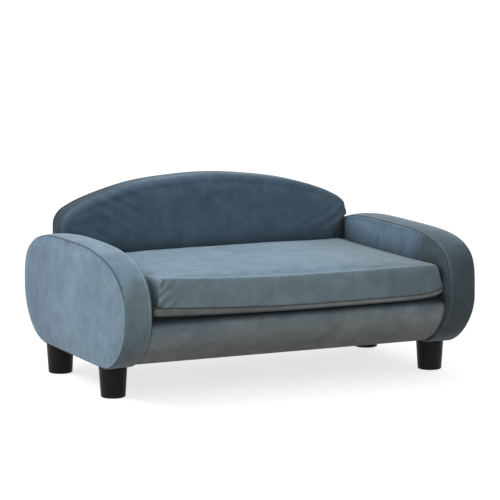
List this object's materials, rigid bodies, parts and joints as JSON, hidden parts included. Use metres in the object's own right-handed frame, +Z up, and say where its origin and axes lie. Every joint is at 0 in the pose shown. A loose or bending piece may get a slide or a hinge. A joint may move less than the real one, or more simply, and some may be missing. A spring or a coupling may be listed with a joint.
{
  "type": "pet sofa bed",
  "caption": "Low upholstered sofa bed for a cat or small dog, with rounded slab arms, an arched back, a lift-out cushion and tapered legs.",
  "frame": {"origin": "on the floor under the centre of the box round the sofa", "axes": "+X along the width to the viewer's right, the front faces -Y, +Z up"},
  "size_m": [0.806, 0.586, 0.405],
  "materials": {
    "velvet": "steel-blue polyester velvet with a brushed nap",
    "cushion_base_cloth": "grey-blue velvet, nap lying the other way",
    "dust_cloth": "black spunbonded cloth",
    "zip_tape": "woven polyester tape",
    "zip_teeth": "nylon coil",
    "foam": "open-cell cushion foam",
    "leg_plastic": "moulded dark brown plastic, satin",
    "plywood": "unfinished plywood",
    "softwood": "sawn pine",
    "zinc_steel": "zinc plated"
  },
  "bodies": {
    "sofa": {"front_rail": "softwood", "rear_rail": "softwood", "left_end_rail": "softwood", "right_end_rail": "softwood", "stretchers": "softwood", "corner_blocks": "softwood", "front_formers": "plywood", "rear_formers": "plywood", "deck_board": "plywood", "front_nose_foam": "foam", "rear_nose_foam": "foam", "base_cover": "velvet", "frame_screws": "zinc_steel", "dust_cover": "dust_cloth", "dust_cover_staples": "zinc_steel", "left_arm_outer_board": "plywood", "right_arm_outer_board": "plywood", "left_arm_inner_board": "plywood", "right_arm_inner_board": "plywood", "left_arm_bottom_block": "softwood", "right_arm_bottom_block": "softwood", "left_arm_spacers": "softwood", "right_arm_spacers": "softwood", "left_arm_outer_foam": "foam", "right_arm_outer_foam": "foam", "left_arm_inner_foam": "foam", "right_arm_inner_foam": "foam", "left_arm_band_foam": "foam", "right_arm_band_foam": "foam", "left_arm_outer_cover": "velvet", "right_arm_outer_cover": "velvet", "left_arm_band_cover": "velvet", "right_arm_band_cover": "velvet", "left_arm_inner_cover": "velvet", "right_arm_inner_cover": "velvet", "arm_bolts": "zinc_steel", "arm_bolt_washers": "zinc_steel", "arm_tee_nuts": "zinc_steel", "back_frame": "softwood", "back_uprights": "softwood", "back_board": "plywood", "back_foam": "foam", "back_front_cover": "velvet", "back_rear_cover": "velvet", "front_left_leg": "leg_plastic", "front_right_leg": "leg_plastic", "rear_left_leg": "leg_plastic", "rear_right_leg": "leg_plastic", "leg_studs": "zinc_steel", "leg_tee_nuts": "zinc_steel"},
    "cushion": {"cushion_foam": "foam", "cushion_top_cover": "velvet", "cushion_base_cover": "cushion_base_cloth", "zip_tapes": "zip_tape", "zip_teeth": "zip_teeth", "zip_stops": "zinc_steel"},
    "zip_slider": {"zip_slider": "zinc_steel"}
  },
  "joints": [
    {"name": "cushion_lift", "type": "slide", "parent": "sofa", "child": "cushion", "axis": [0, 0, 1], "range_m": [0, 0.35]},
    {"name": "zip_slide", "type": "slide", "parent": "cushion", "child": "zip_slider", "axis": [-1, 0, 0], "range_m": [0, 0.537]}
  ]
}
